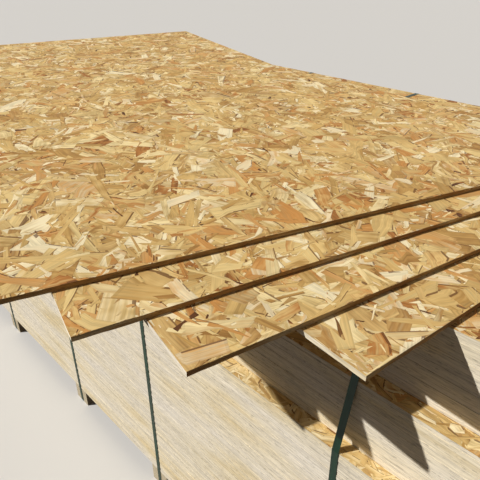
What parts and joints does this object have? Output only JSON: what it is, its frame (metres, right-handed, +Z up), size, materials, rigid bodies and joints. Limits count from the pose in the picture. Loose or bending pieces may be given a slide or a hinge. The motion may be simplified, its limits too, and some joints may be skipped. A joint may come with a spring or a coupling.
{
  "type": "strapped stack of osb panels",
  "caption": "Strapped pack of flat oriented strand board sheets on timber bearers, with loose sheets fanned out on top.",
  "frame": {"origin": "on the floor, at the middle of the outer box, so the pack stands a little off it under its loose sheets", "axes": "+Z up; +X along the length of the pack; -Y out of the long side on which the lots of sheets are stepped"},
  "size_m": [3.0758, 1.9648, 1.1319],
  "materials": {
    "osb": "pressed strands of pale, straw and tan wood, with pale sawn edges",
    "bearer_wood": "rough sawn softwood",
    "strap_plastic": "dark green plastic strapping, satin"
  },
  "bodies": {
    "root": {"loose_sheet_1": "osb", "loose_sheet_2": "osb", "loose_sheet_3": "osb", "loose_sheet_4": "osb", "upper_sheets": "osb", "middle_sheets": "osb", "lower_sheets": "osb", "bearer_1": "bearer_wood", "bearer_2": "bearer_wood", "bearer_3": "bearer_wood", "bearer_4": "bearer_wood", "strap_1": "strap_plastic", "strap_2": "strap_plastic", "strap_3": "strap_plastic", "strap_4": "strap_plastic"}
  },
  "joints": []
}
